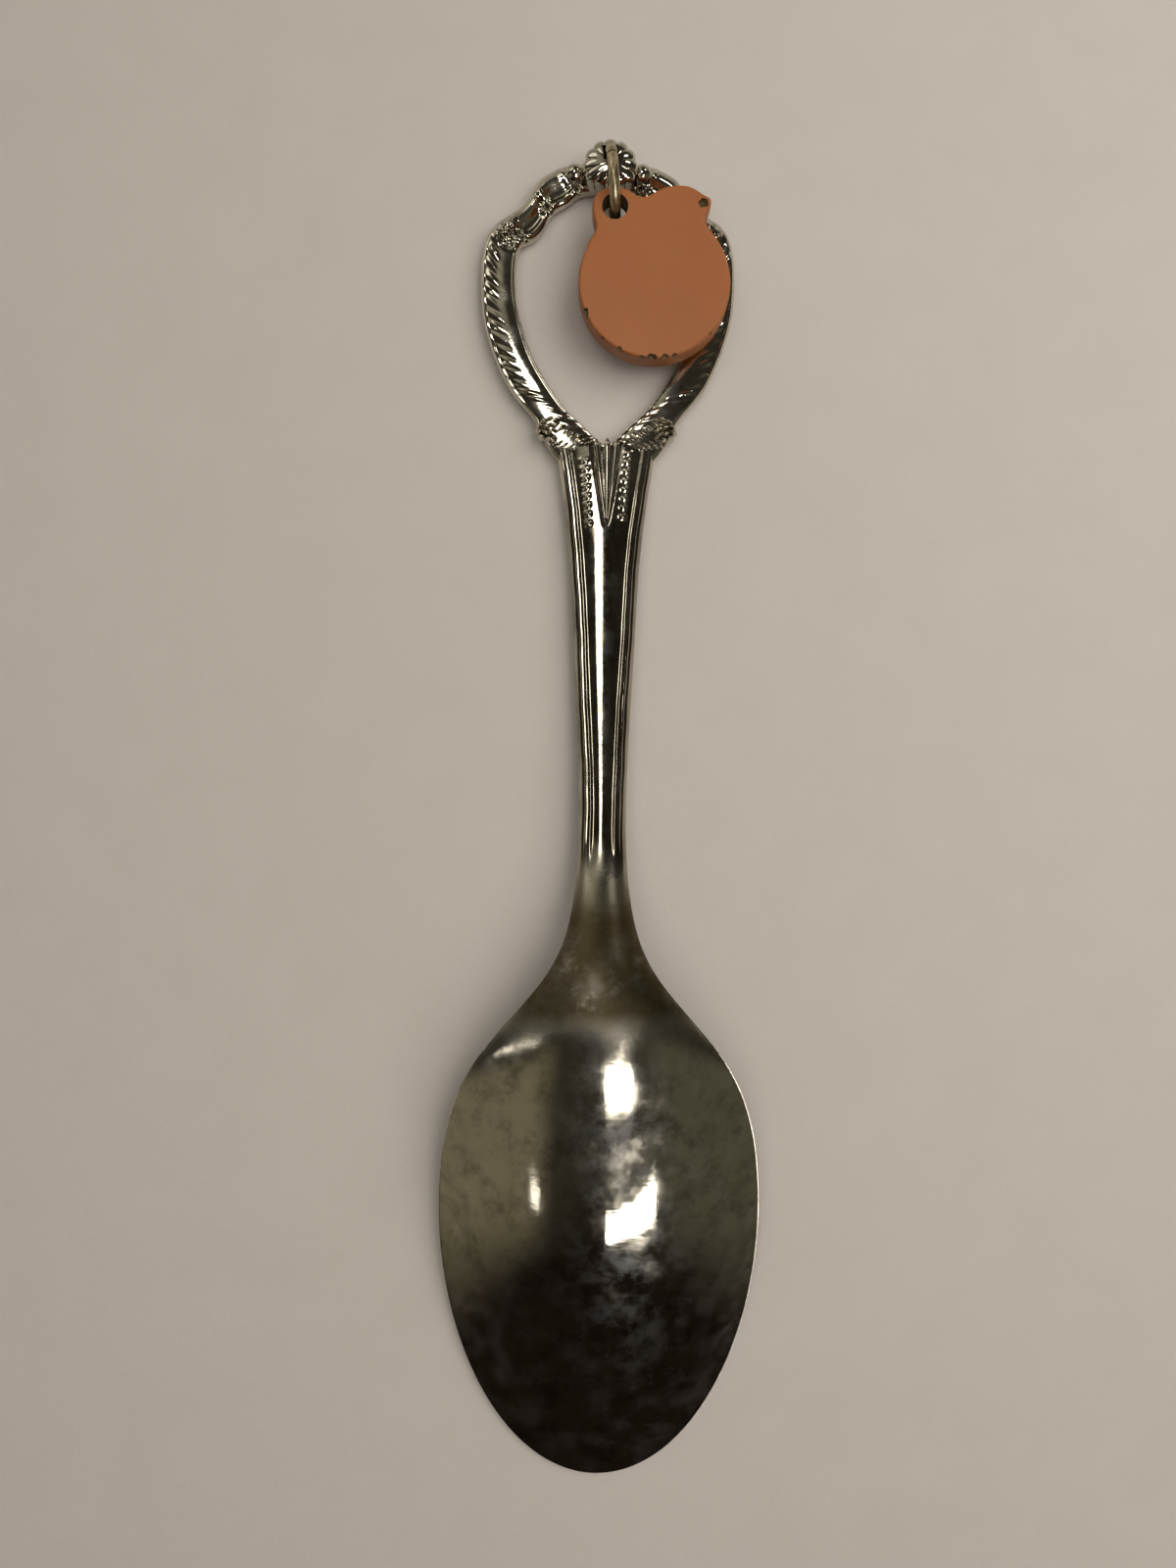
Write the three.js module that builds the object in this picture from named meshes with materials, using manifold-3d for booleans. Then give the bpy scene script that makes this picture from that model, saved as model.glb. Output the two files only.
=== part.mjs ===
// A souvenir spoon, lying on the edge of its bowl with the back of the bowl up.
// +Y runs from the bowl's tip to the crest of the handle, +X to the right, +Z up,
// in millimetres. The origin is on the ground under the middle of the object.
// The spoon is one stamped piece. A wire jump ring runs round its crest in a
// groove, and a flat painted charm hangs on the ring.

import * as THREE from 'three';
import { mergeVertices } from 'three/addons/utils/BufferGeometryUtils.js';
import Module from 'manifold-3d';

const wasm = await Module();
wasm.setup();

// ---------------------------------------------------------------- dimensions

// Bowl: the outline is two half ellipses, blended into the neck.
const TIP_Y = -57.5;
const BOWL_MID_Y = -34;
const BOWL_LOWER_LENGTH = 23.55;
const BOWL_HALF_WIDTH = 13.7;
const BOWL_CROWN = 6.3;
const BOWL_POWER = 1.0;
const BOWL_WALL = 1.1;
const RIM_EDGE = 0.55;
const RIM_LIP = 1.0;
const HOLLOW_START_Y = -14.5;
const HOLLOW_FULL_Y = -20;
const STEM_START_Y = 0.5;
const STEM_TOP_Y = 31.4;
const LIP_MIN_SHARE = 0.5;
const EDGE_MAX_SHARE = 0.8;
const HOLLOW_END_POWER = 0.5;

// Stations along the spoon: [y, value].
const SHOULDER_HALF_WIDTHS = [
  [-34, 13.7], [-28.8, 13.35], [-24.3, 12.3], [-19.8, 9.95], [-15.6, 6.5],
  [-13.2, 4.6], [-10.5, 3.2], [-7.7, 2.5], [-3, 2.07], [5, 2.15],
  [15, 2.65], [22, 3.05], [27, 3.6], [32, 4.3],
];
const UNDERSIDE_HEIGHTS = [
  [-57.5, 0], [-48.7, 0.4], [-39.8, 1.2], [-31, 2.2], [-26.5, 3.1],
  [-22, 4.3], [-18, 5.45], [-14.5, 5.95], [-11, 5.15], [-7.5, 3.35],
  [-4, 2.05], [0, 1.35], [8, 0.7], [20, 0.2], [32, 0],
];
const SHOULDER_CROWNS = [
  [-34, 6.3], [-28, 5.95], [-22, 4.75], [-18, 3.6], [-14.5, 2.85],
  [-11, 2.4], [-7, 2.2], [0, 2.12], [15, 2.25], [32, 2.4],
];
const EDGE_HEIGHTS = [[-57.5, 0.45], [-26, 0.55], [-13.4, 0.9], [0, 1.1], [32, 1.3]];
const CROWN_POWERS = [[-57.5, 1], [-34, 1], [-20, 0.95], [-11, 0.72], [0, 0.6], [32, 0.55]];

// Loop: a flat openwork frame, symmetrical about X = 0.
const LOOP_THICKNESS = 1.95;
const LOOP_BEVEL = 0.35;
const KNOB = { y: 55.05, radius: 2.45, bottom: 0.2, top: 3.85, bevel: 0.6, start: -42, end: 222 };
const SCROLL_BALL = { x: 3.15, y: 54.7, z: 1.25, radius: 0.98, height: 1.25 };
const EAR = { x: 5.05, y: 33.15, z: 1.35, radius: 1.05, height: 1.25 };
const TONGUE = { tipY: 24.3, waistY: 28, topY: 32.2, halfWidth: 0.95, bottom: 0.8, top: 2.75, bevel: 0.25 };

// Right half of the loop's outline, from the scroll ball to the stem.
const LOOP_OUTSIDE = [
  [4.1, 55.95], [5.0, 55.5], [5.85, 54.95], [6.5, 54.1], [7.0, 53.15], [7.75, 52.35],
  [8.85, 51.6], [9.8, 50.9], [10.45, 49.9], [10.85, 48.3], [10.97, 46.5], [10.92, 44.8],
  [10.78, 43.2], [10.43, 41.6], [9.92, 40], [9.25, 38.35], [8.5, 36.9], [7.6, 35.7],
  [6.7, 34.7], [6.05, 33.8], [5.6, 32.8], [5.0, 31.7], [4.3, 30.6], [3.85, 28.6],
];
// Right half of the opening: under the crest, past three scallops, then down the side to the V.
const OPENING = [
  [1.2, 53.9], [2.2, 53.75], [2.95, 53.35], [3.6, 52.8], [4.45, 52.35], [5.1, 51.65],
  [5.5, 50.85], [6.1, 50.05], [6.9, 49.5], [7.55, 49.2], [7.82, 48.4], [7.93, 47.4],
  [7.97, 46.1], [7.88, 44.8], [7.65, 43.4], [7.25, 41.95], [6.8, 40.5], [6.2, 39.1],
  [5.4, 37.7], [4.5, 36.35], [3.6, 35.15], [2.85, 34.4], [2.1, 33.75], [1.4, 33.1],
  [0.85, 32.55], [0.4, 32.2], [0, 32.1],
];

// Jump ring: round wire, standing across the crest.
const RING_RADIUS = 2.8;
const WIRE_RADIUS = 0.45;
const RING_CENTRE = new THREE.Vector3(0.34, 53.3, 3.55);
const RING_LEAN = THREE.MathUtils.degToRad(4.6);
const GROOVE_HALF_WIDTH = 0.75;
const GROOVE_GAP = 0.3;

// Charm: a thick disc that hangs from an eyelet, with a leaf and a short stalk.
const EYELET_OFFSET = 2.35;
const EYELET_HOLE_RADIUS = 1.1;
const CHARM_SWING = THREE.MathUtils.degToRad(28);
const CHARM_REACH = 7.13;
const DISC_RADIUS = 6.38;
const DISC_ARC = [157, 404];
const CHARM_BOTTOM = 2.55;
const CHARM_TOP = 4.9;
const CHARM_BEVEL = 0.25;
const CHARM_DOME = { radius: 5.4, depth: 0.3, root: 0.6 };
// The charm's edge where it is not round, as it lies: the stalk, the leaf, then the eyelet's tab.
const CHARM_TOP_EDGE = [
  [7.98, 50.0], [8.4, 50.75], [8.62, 51.4], [8.5, 51.8], [8.1, 51.95], [7.2, 52.55], [6.5, 52.8],
  [5.6, 52.82], [4.7, 52.65], [4.0, 52.35], [3.4, 51.95], [2.8, 51.8], [2.3, 51.9], [1.85, 52.3],
  [1.2, 52.55], [0.4, 52.62], [-0.4, 52.5], [-1.0, 52.15], [-1.33, 51.55], [-1.4, 50.8],
  [-1.25, 50], [-1.05, 49.3], [-1.2, 48.75], [-1.6, 48.2],
];

// ------------------------------------------------------------------- helpers

// Points over the back of a section, and through its hollow.
const BACK_STEPS = 14;
const HOLLOW_STEPS = 12;
const TIP_STEPS = 18;
const STEM_STEPS = 8;
const BOWL_STEP = 1.4;
const OUTSIDE_STEPS = 54;
const OPENING_STEPS = 44;
const KNOB_STEPS = 28;
const WELD = 1e-4;
const CROWN_POINT = BACK_STEPS / 2;

const clamp01 = (t) => Math.min(Math.max(t, 0), 1);

// A smooth curve through [station, value] pairs, read at any station.
function profile(points) {
  const last = points.length - 1;
  const slopes = points.map((point, i) => {
    const before = points[Math.max(i - 1, 0)];
    const after = points[Math.min(i + 1, last)];
    return (after[1] - before[1]) / (after[0] - before[0]);
  });
  return (station) => {
    let i = 0;
    while (i < last - 1 && station > points[i + 1][0]) i += 1;
    const span = points[i + 1][0] - points[i][0];
    const t = clamp01((station - points[i][0]) / span);
    const rise = t * t * (3 - 2 * t);
    const startPull = t * (1 - t) * (1 - t) * span * slopes[i];
    const endPull = t * t * (t - 1) * span * slopes[i + 1];
    return points[i][1] * (1 - rise) + points[i + 1][1] * rise + startPull + endPull;
  };
}

function arcPoints(x, y, radius, startDegrees, endDegrees, steps) {
  const points = [];
  for (let i = 0; i <= steps; i += 1) {
    const angle = THREE.MathUtils.degToRad(startDegrees + (endDegrees - startDegrees) * i / steps);
    points.push(new THREE.Vector2(x + radius * Math.cos(angle), y + radius * Math.sin(angle)));
  }
  return points;
}

function splinePoints(pairs, steps) {
  return new THREE.SplineCurve(pairs.map(([x, y]) => new THREE.Vector2(x, y))).getPoints(steps);
}

const mirrored = (points) => points.map((p) => new THREE.Vector2(-p.x, p.y)).reverse();

// Extrudes a shape along Z between two heights, with a bevel inside its outline.
function plate(shape, bottom, top, bevel, curveSegments = 12) {
  const geometry = new THREE.ExtrudeGeometry(shape, {
    depth: top - bottom - 2 * bevel,
    bevelEnabled: true,
    bevelThickness: bevel,
    bevelSize: bevel,
    bevelOffset: -bevel,
    bevelSegments: 1,
    curveSegments,
  });
  return geometry.translate(0, 0, bottom + bevel);
}

function solid(geometry) {
  const bare = geometry.clone();
  bare.deleteAttribute('normal');
  bare.deleteAttribute('uv');
  const merged = mergeVertices(bare, WELD);
  return new wasm.Manifold(new wasm.Mesh({
    numProp: 3,
    vertProperties: new Float32Array(merged.attributes.position.array),
    triVerts: new Uint32Array(merged.index.array),
  }));
}

function geometryOf(manifold) {
  const mesh = manifold.getMesh();
  const geometry = new THREE.BufferGeometry();
  geometry.setAttribute('position', new THREE.BufferAttribute(mesh.vertProperties, 3));
  geometry.setIndex(new THREE.BufferAttribute(mesh.triVerts, 1));
  geometry.computeVertexNormals();
  return geometry;
}

// Closes a row of equal rings of points into one solid, capped at both ends.
function loft(rings) {
  const count = rings[0].length;
  const index = [];
  for (let k = 0; k < rings.length - 1; k += 1) {
    for (let i = 0; i < count; i += 1) {
      const a = k * count + i;
      const b = k * count + (i + 1) % count;
      index.push(a, b, a + count, b, b + count, a + count);
    }
  }
  // Each end is flat and convex, so a fan from its crown closes it.
  const capEnd = (start, flip) => {
    for (let i = 1; i < count - 1; i += 1) {
      const a = start + (CROWN_POINT + i) % count;
      const b = start + (CROWN_POINT + i + 1) % count;
      index.push(start + CROWN_POINT, flip ? a : b, flip ? b : a);
    }
  };
  capEnd(0, false);
  capEnd((rings.length - 1) * count, true);
  const geometry = new THREE.BufferGeometry().setFromPoints(rings.flat());
  geometry.setIndex(index);
  return geometry;
}

// ---------------------------------------------------------------- spoon body

const shoulderHalfWidth = profile(SHOULDER_HALF_WIDTHS);
const undersideHeight = profile(UNDERSIDE_HEIGHTS);
const shoulderCrown = profile(SHOULDER_CROWNS);
const edgeHeight = profile(EDGE_HEIGHTS);
const crownPower = profile(CROWN_POWERS);

// How far round the lower half ellipse a station is, from 0 at the middle to 1 at the tip.
const towardsTip = (y) => clamp01((BOWL_MID_Y - y) / BOWL_LOWER_LENGTH);

function halfWidthAt(y) {
  if (y > BOWL_MID_Y) return shoulderHalfWidth(y);
  return BOWL_HALF_WIDTH * Math.sqrt(1 - towardsTip(y) ** 2);
}

function crownAt(y) {
  if (y > BOWL_MID_Y) return shoulderCrown(y);
  return RIM_EDGE + (BOWL_CROWN - RIM_EDGE) * (1 - towardsTip(y) ** 2) ** BOWL_POWER;
}

// The hollow's half width and depth at a station, both 0 outside the bowl.
function hollowAt(y) {
  const opening = clamp01((HOLLOW_START_Y - y) / (HOLLOW_START_Y - HOLLOW_FULL_Y)) ** HOLLOW_END_POWER;
  const halfWidth = Math.max(halfWidthAt(y) - RIM_LIP, 0) * opening;
  const depth = Math.max(crownAt(y) - BOWL_WALL, 0) * opening;
  const lowerEnd = clamp01((y - TIP_Y - RIM_LIP) / RIM_LIP);
  return { halfWidth: halfWidth * lowerEnd, depth: depth * lowerEnd };
}

// One closed section of the spoon: over the back from left to right, then
// along the rim and through the hollow from right to left.
function sectionAt(y) {
  const halfWidth = halfWidthAt(y);
  const bottom = undersideHeight(y);
  const crown = crownAt(y);
  const edge = Math.min(edgeHeight(y), EDGE_MAX_SHARE * crown);
  const power = crownPower(y);
  const hollow = hollowAt(y);
  const points = [];
  for (let i = 0; i <= BACK_STEPS; i += 1) {
    const across = -Math.cos(Math.PI * i / BACK_STEPS);
    const rise = Math.max(1 - across * across, 0) ** power;
    points.push(new THREE.Vector3(halfWidth * across, y, bottom + edge + (crown - edge) * rise));
  }
  points.push(new THREE.Vector3(halfWidth, y, bottom));
  const lip = Math.max(hollow.halfWidth, LIP_MIN_SHARE * halfWidth);
  for (let i = 0; i <= HOLLOW_STEPS; i += 1) {
    const across = Math.cos(Math.PI * i / HOLLOW_STEPS);
    const rise = Math.max(1 - across * across, 0) ** power;
    points.push(new THREE.Vector3(lip * across, y, bottom + hollow.depth * rise));
  }
  points.push(new THREE.Vector3(-halfWidth, y, bottom));
  return points;
}

function stationList() {
  const stations = [];
  for (let i = 0; i <= TIP_STEPS; i += 1) {
    const turn = Math.PI / 2 * i / TIP_STEPS;
    stations.push(TIP_Y + (BOWL_MID_Y - TIP_Y) * (1 - Math.cos(turn)));
  }
  for (let y = BOWL_MID_Y + BOWL_STEP; y < 0; y += BOWL_STEP) stations.push(y);
  for (let i = 0; i <= STEM_STEPS; i += 1) {
    stations.push(STEM_START_Y + (STEM_TOP_Y - STEM_START_Y) * i / STEM_STEPS);
  }
  return stations;
}

const bodyOfSpoon = () => solid(loft(stationList().map(sectionAt)));

// ---------------------------------------------------------------------- loop

function loopOutline() {
  const half = [
    ...arcPoints(0, KNOB.y, KNOB.radius, 90, 14, 10),
    ...arcPoints(SCROLL_BALL.x, SCROLL_BALL.y, SCROLL_BALL.radius, 125, 75, 4),
    ...splinePoints(LOOP_OUTSIDE, OUTSIDE_STEPS),
  ];
  return new THREE.Shape([...half, ...mirrored(half.slice(1))]);
}

function loopOpening() {
  const half = splinePoints(OPENING, OPENING_STEPS);
  return new THREE.Path([...half, ...mirrored(half.slice(0, -1))].reverse());
}

function loopPlate() {
  const shape = loopOutline();
  shape.holes.push(loopOpening());
  return solid(plate(shape, 0, LOOP_THICKNESS, LOOP_BEVEL));
}

function crestKnob() {
  const outline = arcPoints(0, KNOB.y, KNOB.radius, KNOB.start, KNOB.end, KNOB_STEPS);
  return solid(plate(new THREE.Shape(outline), KNOB.bottom, KNOB.top, KNOB.bevel));
}

function flattenedBall({ x, y, z, radius, height }, side) {
  const ball = new THREE.SphereGeometry(radius, 16, 8);
  return solid(ball.scale(1, 1, height / radius).translate(side * x, y, z));
}

// A pointed tongue that runs from the loop's V down the top of the stem.
function tongue() {
  const waist = 0.75 * TONGUE.halfWidth;
  const shape = new THREE.Shape([
    new THREE.Vector2(-TONGUE.halfWidth, TONGUE.topY),
    new THREE.Vector2(-waist, TONGUE.waistY),
    new THREE.Vector2(0, TONGUE.tipY),
    new THREE.Vector2(waist, TONGUE.waistY),
    new THREE.Vector2(TONGUE.halfWidth, TONGUE.topY),
  ]);
  return solid(plate(shape, TONGUE.bottom, TONGUE.top, TONGUE.bevel));
}

// The slot that the jump ring runs through in the crest: an annulus about the
// ring's axis, with a gap on every side of the wire.
function ringGroove() {
  const inner = RING_RADIUS - WIRE_RADIUS - GROOVE_GAP;
  const outer = RING_RADIUS + WIRE_RADIUS + GROOVE_GAP;
  const section = [
    new THREE.Vector2(inner, -GROOVE_HALF_WIDTH),
    new THREE.Vector2(outer, -GROOVE_HALF_WIDTH),
    new THREE.Vector2(outer, GROOVE_HALF_WIDTH),
    new THREE.Vector2(inner, GROOVE_HALF_WIDTH),
    new THREE.Vector2(inner, -GROOVE_HALF_WIDTH),
  ];
  const groove = new THREE.LatheGeometry(section, 40);
  groove.rotateZ(-Math.PI / 2 + RING_LEAN);
  return solid(groove.translate(RING_CENTRE.x, RING_CENTRE.y, RING_CENTRE.z));
}

function spoonGeometry() {
  let spoon = bodyOfSpoon().add(loopPlate()).add(crestKnob()).add(tongue());
  for (const side of [-1, 1]) {
    spoon = spoon.add(flattenedBall(SCROLL_BALL, side)).add(flattenedBall(EAR, side));
  }
  return geometryOf(spoon.subtract(ringGroove()));
}

// ----------------------------------------------------------------- jump ring

function ringGeometry() {
  const wire = arcPoints(RING_RADIUS, 0, WIRE_RADIUS, 0, 360, 10);
  wire[wire.length - 1].copy(wire[0]);
  return new THREE.LatheGeometry(wire, 36);
}

// --------------------------------------------------------------------- charm

// The charm's outline, turned so that the disc hangs straight down from the
// eyelet's hole at the origin.
function charmShape() {
  const eyelet = new THREE.Vector3(0, -EYELET_OFFSET, 0)
    .applyAxisAngle(new THREE.Vector3(0, 0, 1), RING_LEAN)
    .add(RING_CENTRE);
  const hang = ([x, y]) => (
    new THREE.Vector2(x - eyelet.x, y - eyelet.y).rotateAround(new THREE.Vector2(), -CHARM_SWING)
  );
  const [start, end] = DISC_ARC.map((angle) => angle - THREE.MathUtils.radToDeg(CHARM_SWING));
  const outline = [
    ...arcPoints(0, -CHARM_REACH, DISC_RADIUS, start, end, 48),
    ...CHARM_TOP_EDGE.map(hang),
  ];
  const shape = new THREE.Shape(outline);
  shape.holes.push(new THREE.Path(arcPoints(0, 0, EYELET_HOLE_RADIUS, 0, 345, 23)));
  return shape;
}

function charmGeometry() {
  const body = solid(plate(charmShape(), CHARM_BOTTOM, CHARM_TOP, CHARM_BEVEL));
  const { radius, depth, root } = CHARM_DOME;
  const crown = [new THREE.Vector2(0, CHARM_BOTTOM - depth)];
  for (let i = 1; i <= 6; i += 1) {
    const t = i / 6;
    crown.push(new THREE.Vector2(radius * t, CHARM_BOTTOM - depth * (1 - t * t)));
  }
  crown.push(new THREE.Vector2(radius, CHARM_BOTTOM + root));
  crown.push(new THREE.Vector2(0, CHARM_BOTTOM + root));
  const dome = new THREE.LatheGeometry(crown, 32).rotateX(Math.PI / 2);
  return geometryOf(body.add(solid(dome.translate(0, -CHARM_REACH, 0))));
}

// ------------------------------------------------------------------ assembly

const finish = (color, roughness, metalness) => (
  new THREE.MeshStandardMaterial({ color, roughness, metalness })
);

function named(name, geometry, material) {
  const mesh = new THREE.Mesh(geometry, material);
  mesh.name = name;
  return mesh;
}

const object = new THREE.Group();
object.add(named('spoon', spoonGeometry(), finish(0xa8a496, 0.14, 1.0)));

// The lean turns the ring and what hangs on it about the vertical.
const ringGroup = new THREE.Group();
ringGroup.position.copy(RING_CENTRE);
ringGroup.rotation.z = RING_LEAN;
const ring = named('jump_ring', ringGeometry(), finish(0x9a8a5c, 0.3, 1.0));
ring.rotation.z = -Math.PI / 2;
ringGroup.add(ring);

const charmGroup = new THREE.Group();
charmGroup.position.set(0, -EYELET_OFFSET, -RING_CENTRE.z);
charmGroup.rotation.z = CHARM_SWING - RING_LEAN;
charmGroup.add(named('charm', charmGeometry(), finish(0xb56d40, 0.45, 0.0)));
ringGroup.add(charmGroup);
object.add(ringGroup);

export default object;
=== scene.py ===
"""Souvenir spoon, lying face down: a plated spoon with an openwork handle loop,
a brass jump ring through its crest, and a painted charm that hangs from the ring.

Sizes are in millimetres in the CAD frame: +Y runs up the handle, +Z is up, and
the spoon's underside (its front) rests on z = 0. Meshes are scaled to metres
when they are made.
"""

import math

import bmesh
import bpy
import numpy as np
from mathutils import Matrix, Vector, noise


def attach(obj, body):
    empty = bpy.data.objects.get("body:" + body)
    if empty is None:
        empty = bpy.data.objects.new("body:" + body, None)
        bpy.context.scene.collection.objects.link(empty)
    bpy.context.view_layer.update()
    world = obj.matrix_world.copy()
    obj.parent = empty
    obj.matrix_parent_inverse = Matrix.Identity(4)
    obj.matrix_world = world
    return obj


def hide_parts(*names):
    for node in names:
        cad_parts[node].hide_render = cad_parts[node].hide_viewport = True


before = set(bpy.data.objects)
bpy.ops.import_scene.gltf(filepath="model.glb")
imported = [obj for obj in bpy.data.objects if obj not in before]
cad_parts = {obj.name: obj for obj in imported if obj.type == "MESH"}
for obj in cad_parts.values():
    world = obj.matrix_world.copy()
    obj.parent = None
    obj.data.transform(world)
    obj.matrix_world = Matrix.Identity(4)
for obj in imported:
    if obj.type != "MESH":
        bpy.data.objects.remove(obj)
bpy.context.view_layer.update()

MM = 0.001
WELD = 1e-7

# ---------------------------------------------------------------- spoon sizes

TIP_Y = -57.5
BOWL_MID_Y = -34.0
BOWL_HALF_WIDTH = 13.7
BOWL_CROWN = 6.3
BOWL_POWER = 1.12
RIM_ROUNDING = 90
BOWL_WALL = 1.0
RIM_RADIUS = 0.42
HOLLOW_START_Y = -13.8
HOLLOW_FULL_Y = -19.5
STEM_END_Y = 31.6

# (y, value) along the spoon. The underside starts at the bowl's tip, the rest at the
# bowl's widest place. The underside and the crest line are heights above the table;
# the edge's height is above the underside.
HALF_WIDTHS = (
    (-34, 13.7), (-28.8, 13.35), (-24.3, 12.3), (-19.8, 9.95), (-15.6, 6.5), (-13.2, 4.6),
    (-10.5, 3.2), (-7.7, 2.5), (-3, 2.07), (5, 2.15), (15, 2.65), (22, 3.05), (27, 3.6),
    (31.6, 4.3),
)
UNDERSIDE_HEIGHTS = (
    (-57.5, 0), (-48.7, 0.27), (-39.8, 1.02), (-34, 1.78), (-30, 2.44), (-26, 3.24), (-22, 4.22),
    (-18, 5.3), (-14.5, 5.85), (-11, 5.1), (-7.5, 3.4), (-4, 2.05), (0, 1.3), (8, 0.65), (20, 0.2),
    (31.6, 0),
)
CREST_LINE = (
    (-34, 8.08), (-27, 8.79), (-20.5, 9.07), (-17, 9.01), (-14.5, 8.7), (-12, 7.98), (-9.5, 6.73),
    (-7, 5.38), (-4.5, 4.33), (-1.5, 3.63), (3, 3.13), (8, 2.84), (20, 2.53), (28, 2.46),
    (31.6, 2.3),
)
EDGE_HEIGHTS = (
    (-34, 0.42), (-26, 0.43), (-18, 0.62), (-10, 0.86), (0, 1.0), (16, 1.08), (31.6, 1.15),
)
CROWN_POWERS = (
    (-34, 1.12), (-27, 1.1), (-20, 1.0), (-14, 0.84), (-8, 0.7), (0, 0.6), (31.6, 0.55),
)
CREST_START_SLOPE = 0.15

BOWL_STATIONS = 66
OUTER_COLUMNS = 113
EDGE_COLUMNS = 9
INNER_COLUMNS = 49

# The handle's relief: threads by each edge (depth in from it, width, height),
# two columns of beads, and a fluted tongue below the loop.
RELIEF_FROM = (-5.0, -1.5)
THREADS = ((0.3, 0.09, 0.11), (0.62, 0.09, 0.1), (0.98, 0.1, 0.1))
FLUTE_INSET = 1.3
FLUTE_WIDTH = 0.18
FLUTE_DEPTH = 0.1
BEAD_X = 1.5
BEADS_Y = (25.3, 30.6)
BEAD_PITCH = 0.78
BEAD_SPREAD = 0.07
BEAD_STAGGER = 0.3
BEAD_WIDTH = 0.2
BEAD_LENGTH = 0.19
BEAD_HEIGHT = 0.22
TONGUE_TIP_Y = 24.5
TONGUE_END_Y = 32.3
TONGUE_TOP_X = (-0.86, 0.1, 0.98)
TONGUE_TIP_X = 0.1
TONGUE_RIDGE = 0.3
TONGUE_BED_DEPTH = 0.14
TONGUE_BED_SPREAD = 1.25
TONGUE_BED_EDGE = 0.3

# (first y, spacing) of the cross-sections from the bowl's widest place to the loop.
STATION_SPACING = ((BOWL_MID_Y, 0.42), (-16, 0.3), (RELIEF_FROM[0], 0.15), (24, 0.1))
SLOPE_STEP = 0.05

# ---------------------------------------------------------------- handle loop

# Matching points on the loop's outer and inner edges, from the crest down the
# right side to the foot of the loop.
LOOP_STATIONS = (
    ((0, 56.5), (0, 53.9)), ((1.6, 56.4), (1.2, 53.9)), ((2.7, 56.15), (2.2, 53.75)),
    ((3.9, 56.0), (2.95, 53.35)), ((5.0, 55.5), (3.6, 52.8)), ((5.85, 54.95), (4.45, 52.35)),
    ((6.5, 54.1), (5.1, 51.65)), ((7.0, 53.15), (5.5, 50.85)), ((7.75, 52.35), (6.1, 50.05)),
    ((8.85, 51.6), (6.9, 49.5)), ((9.8, 50.9), (7.55, 49.2)), ((10.45, 49.9), (7.82, 48.4)),
    ((10.85, 48.3), (7.93, 47.4)), ((10.97, 46.5), (7.97, 46.1)), ((10.92, 44.8), (7.88, 44.8)),
    ((10.78, 43.2), (7.65, 43.4)), ((10.43, 41.6), (7.25, 41.95)), ((9.92, 40.0), (6.8, 40.5)),
    ((9.25, 38.35), (6.2, 39.1)), ((8.5, 36.9), (5.4, 37.7)), ((7.6, 35.7), (4.5, 36.35)),
    ((6.7, 34.7), (3.6, 35.15)), ((6.05, 33.8), (2.85, 34.4)), ((5.6, 32.8), (2.1, 33.75)),
    ((5.0, 31.7), (1.4, 33.1)), ((4.0, 30.5), (0.85, 32.55)), ((2.0, 29.2), (0.4, 32.2)),
    ((0, 28.8), (0, 32.1)),
)
LOOP_SAMPLES = 340
LOOP_COLUMNS = 57
LOOP_UNDERSIDE_COLUMNS = 33
CURVE_STEPS = 24
PATH_SAMPLES = 2400
LOOP_TOP = 1.78
LOOP_MIDDLE = 1.2
LOOP_CEILING = 2.12
LOOP_FRONT_GROOVE = 0.18
# Distances along the loop from the crest: the scallops' creases and end, where the
# rope weakens, and where the sides turn into the foot.
SCALLOP_CREASES = (3.2, 6.5, 10.2)
SCALLOP_END = 11.7
ROPE_WEAKENS = (13, 19)
FOOT_FROM = (24.0, 28.0)
ROPE_PITCH = 1.04
ROPE_HEIGHT = 0.22
ROPE_WIDTH = 0.34
ROPE_SLANT = 0.8
SIDE_SLOPE = 0.42
SCALLOP_RIM = 0.3
SCALLOP_DISH = 0.45
CREASE_DEPTH = 0.34
CREASE_LIP = 0.22
CORNER_PITCH = 0.62

CREST = dict(x=0.12, y=55.15, radius=2.34, bottom=0.2, top=3.95)
CREST_LOBES = 12
CREST_LOBE_DEPTH = 0.11
CREST_DRAWN_IN = 0.25
KNOB_BELLY = 0.76
KNOB_FOOT = 0.72
KNOB_SWELL = 0.28
SCROLL_BALL = dict(x=2.9, y=55.25, z=1.25, radius=0.98, height=1.2)
EAR = dict(x=5.05, y=33.15, z=1.25)

# ------------------------------------------------------------ ring and charm

RING_CENTRE = (0.34, 53.3, 3.55)
RING_RADIUS = 2.8
WIRE_RADIUS = 0.45
RING_LEAN = math.radians(4.6)
RING_GAP = math.radians(1.6)
RING_JOIN = math.radians(62)
RING_STEPS = 150
WIRE_SIDES = 28
GROOVE_HALF_WIDTH = 0.66
GROOVE_GAP = 0.2

EYELET = (0.5285, 50.9576)
EYELET_HOLE = 1.1
CHARM_REACH = 7.13
CHARM_SWING = math.radians(28)
DISC_RADIUS = 6.38
CHARM_BOTTOM = 2.55
CHARM_TOP = 4.9
CHARM_EDGE = 0.26
CHARM_MESH = 0.11
CHARM_CORNER = 0.16
OUTLINE_STEP = 0.12
DISC_ARC = (157, 404)
FRONT_DOME = dict(radius=5.3, depth=0.28, root=0.6)
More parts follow.
